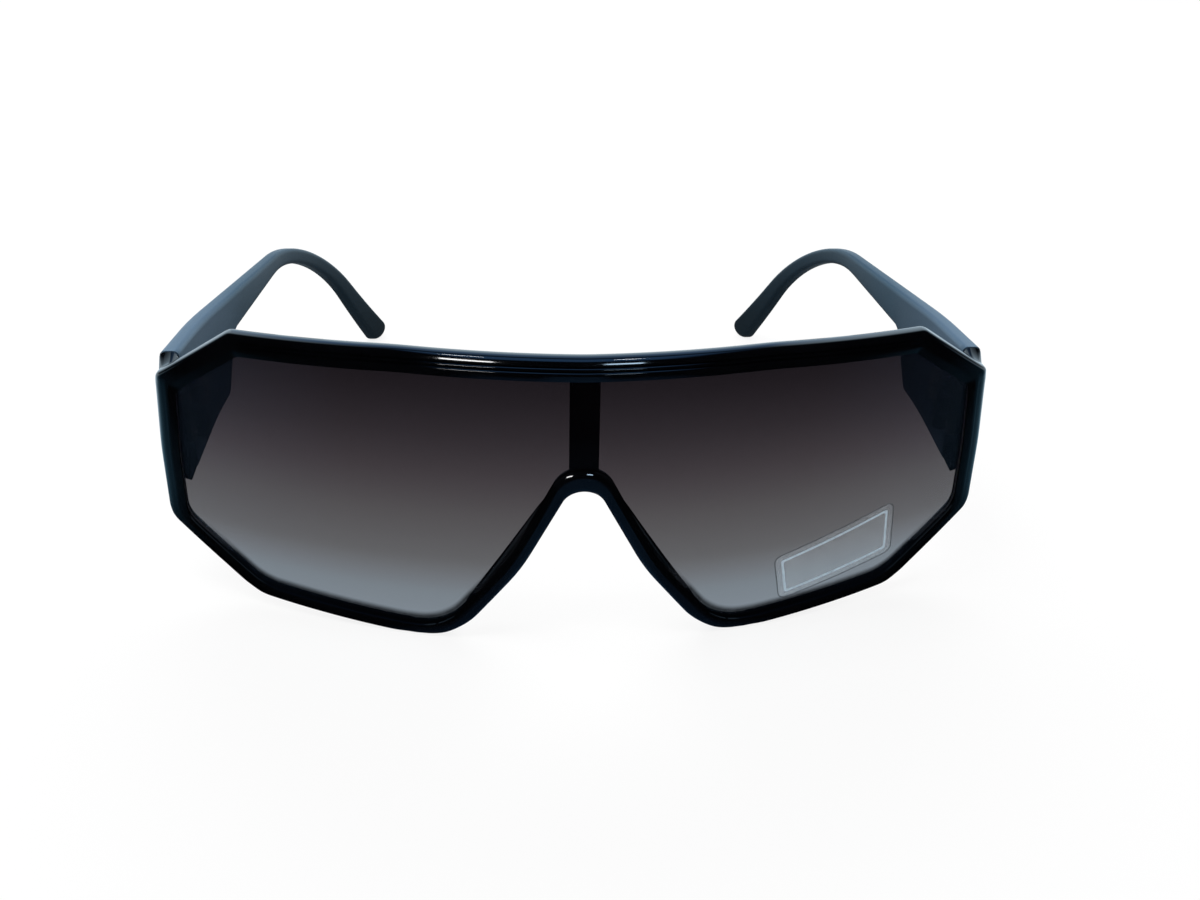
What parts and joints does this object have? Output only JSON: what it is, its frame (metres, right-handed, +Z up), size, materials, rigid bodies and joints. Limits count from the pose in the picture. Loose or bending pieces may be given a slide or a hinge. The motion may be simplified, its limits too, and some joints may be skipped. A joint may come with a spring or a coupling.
{
  "type": "shield sunglasses",
  "caption": "One-piece shield sunglasses with a faceted moulded front, a single wrapped tinted lens and folding temples that bend down behind the ears.",
  "frame": {"origin": "on the table plane, below the middle of the width and depth, with the sunglasses standing open on their lower rims and temple tips", "axes": "+X towards the wearer's left, +Y from the front back along the temples, +Z up"},
  "size_m": [0.154, 0.1366, 0.0571],
  "materials": {
    "gloss_black": "polished black moulding",
    "satin_black": "satin blue-black moulding",
    "smoke_lens": "polished smoke tint, darker at the top",
    "nickel_silver": "fine-brushed nickel silver",
    "steel": "bright machined steel"
  },
  "bodies": {
    "front": {"frame_front": "gloss_black", "shield_lens": "smoke_lens", "frame_hinge_left": "nickel_silver", "hinge_screw_left": "steel", "frame_rivet_left_upper": "nickel_silver", "frame_rivet_left_lower": "nickel_silver", "frame_hinge_right": "nickel_silver", "hinge_screw_right": "steel", "frame_rivet_right_upper": "nickel_silver", "frame_rivet_right_lower": "nickel_silver"},
    "temple_left": {"temple_left": "satin_black", "temple_core_left": "nickel_silver", "temple_hinge_left": "nickel_silver", "temple_rivet_left_front": "nickel_silver", "temple_rivet_left_rear": "nickel_silver"},
    "temple_right": {"temple_right": "satin_black", "temple_core_right": "nickel_silver", "temple_hinge_right": "nickel_silver", "temple_rivet_right_front": "nickel_silver", "temple_rivet_right_rear": "nickel_silver"}
  },
  "joints": [
    {"name": "left_temple_fold", "type": "hinge", "parent": "front", "child": "temple_left", "pos_m": [0.0695, -0.04203, 0.035], "axis": [0, 0, 1], "range_deg": [0, 86]},
    {"name": "right_temple_fold", "type": "hinge", "parent": "front", "child": "temple_right", "pos_m": [-0.0695, -0.04203, 0.035], "axis": [0, 0, -1], "range_deg": [0, 80]}
  ]
}
